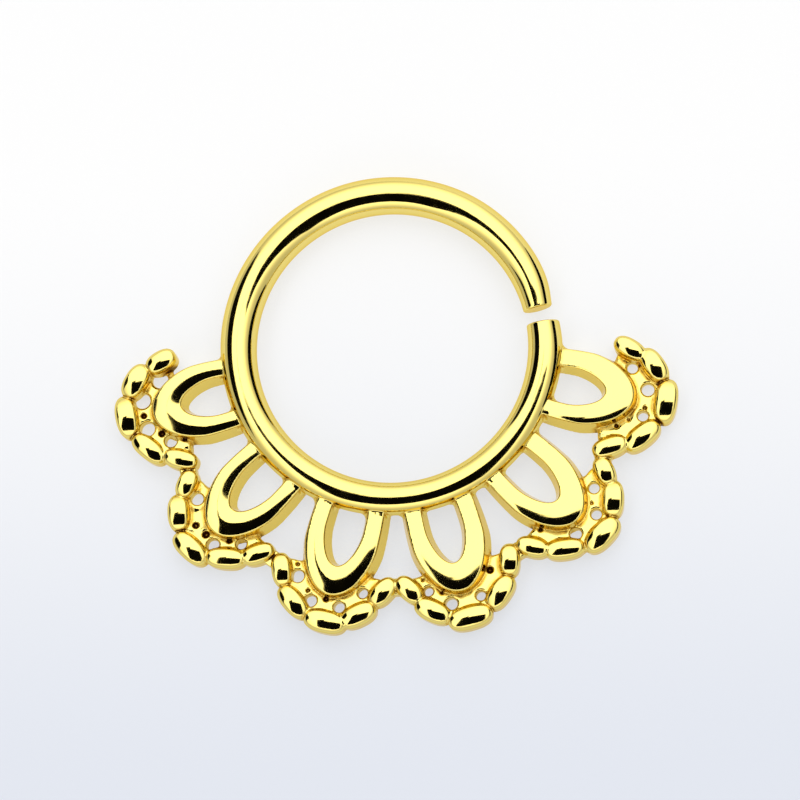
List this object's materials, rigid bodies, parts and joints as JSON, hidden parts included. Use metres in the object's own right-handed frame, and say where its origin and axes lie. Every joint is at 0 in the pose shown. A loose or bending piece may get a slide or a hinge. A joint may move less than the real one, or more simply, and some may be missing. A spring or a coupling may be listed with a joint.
{
  "type": "septum ring",
  "caption": "Round wire ring for a pierced septum, with a gap to bend open and a flat-backed fan of petal loops, pierced lace and rice-shaped beads below.",
  "frame": {"origin": "centre of the wire hoop, on the plane of the flat back", "axes": "+X along the fan, +Y up to the crown of the hoop, +Z out of the front"},
  "size_m": [0.0206, 0.0169, 0.0014],
  "materials": {
    "gold_plating": "mirror-polished pale yellow gold plating over cast brass"
  },
  "bodies": {
    "root": {"septum_ring": "gold_plating"}
  },
  "joints": []
}
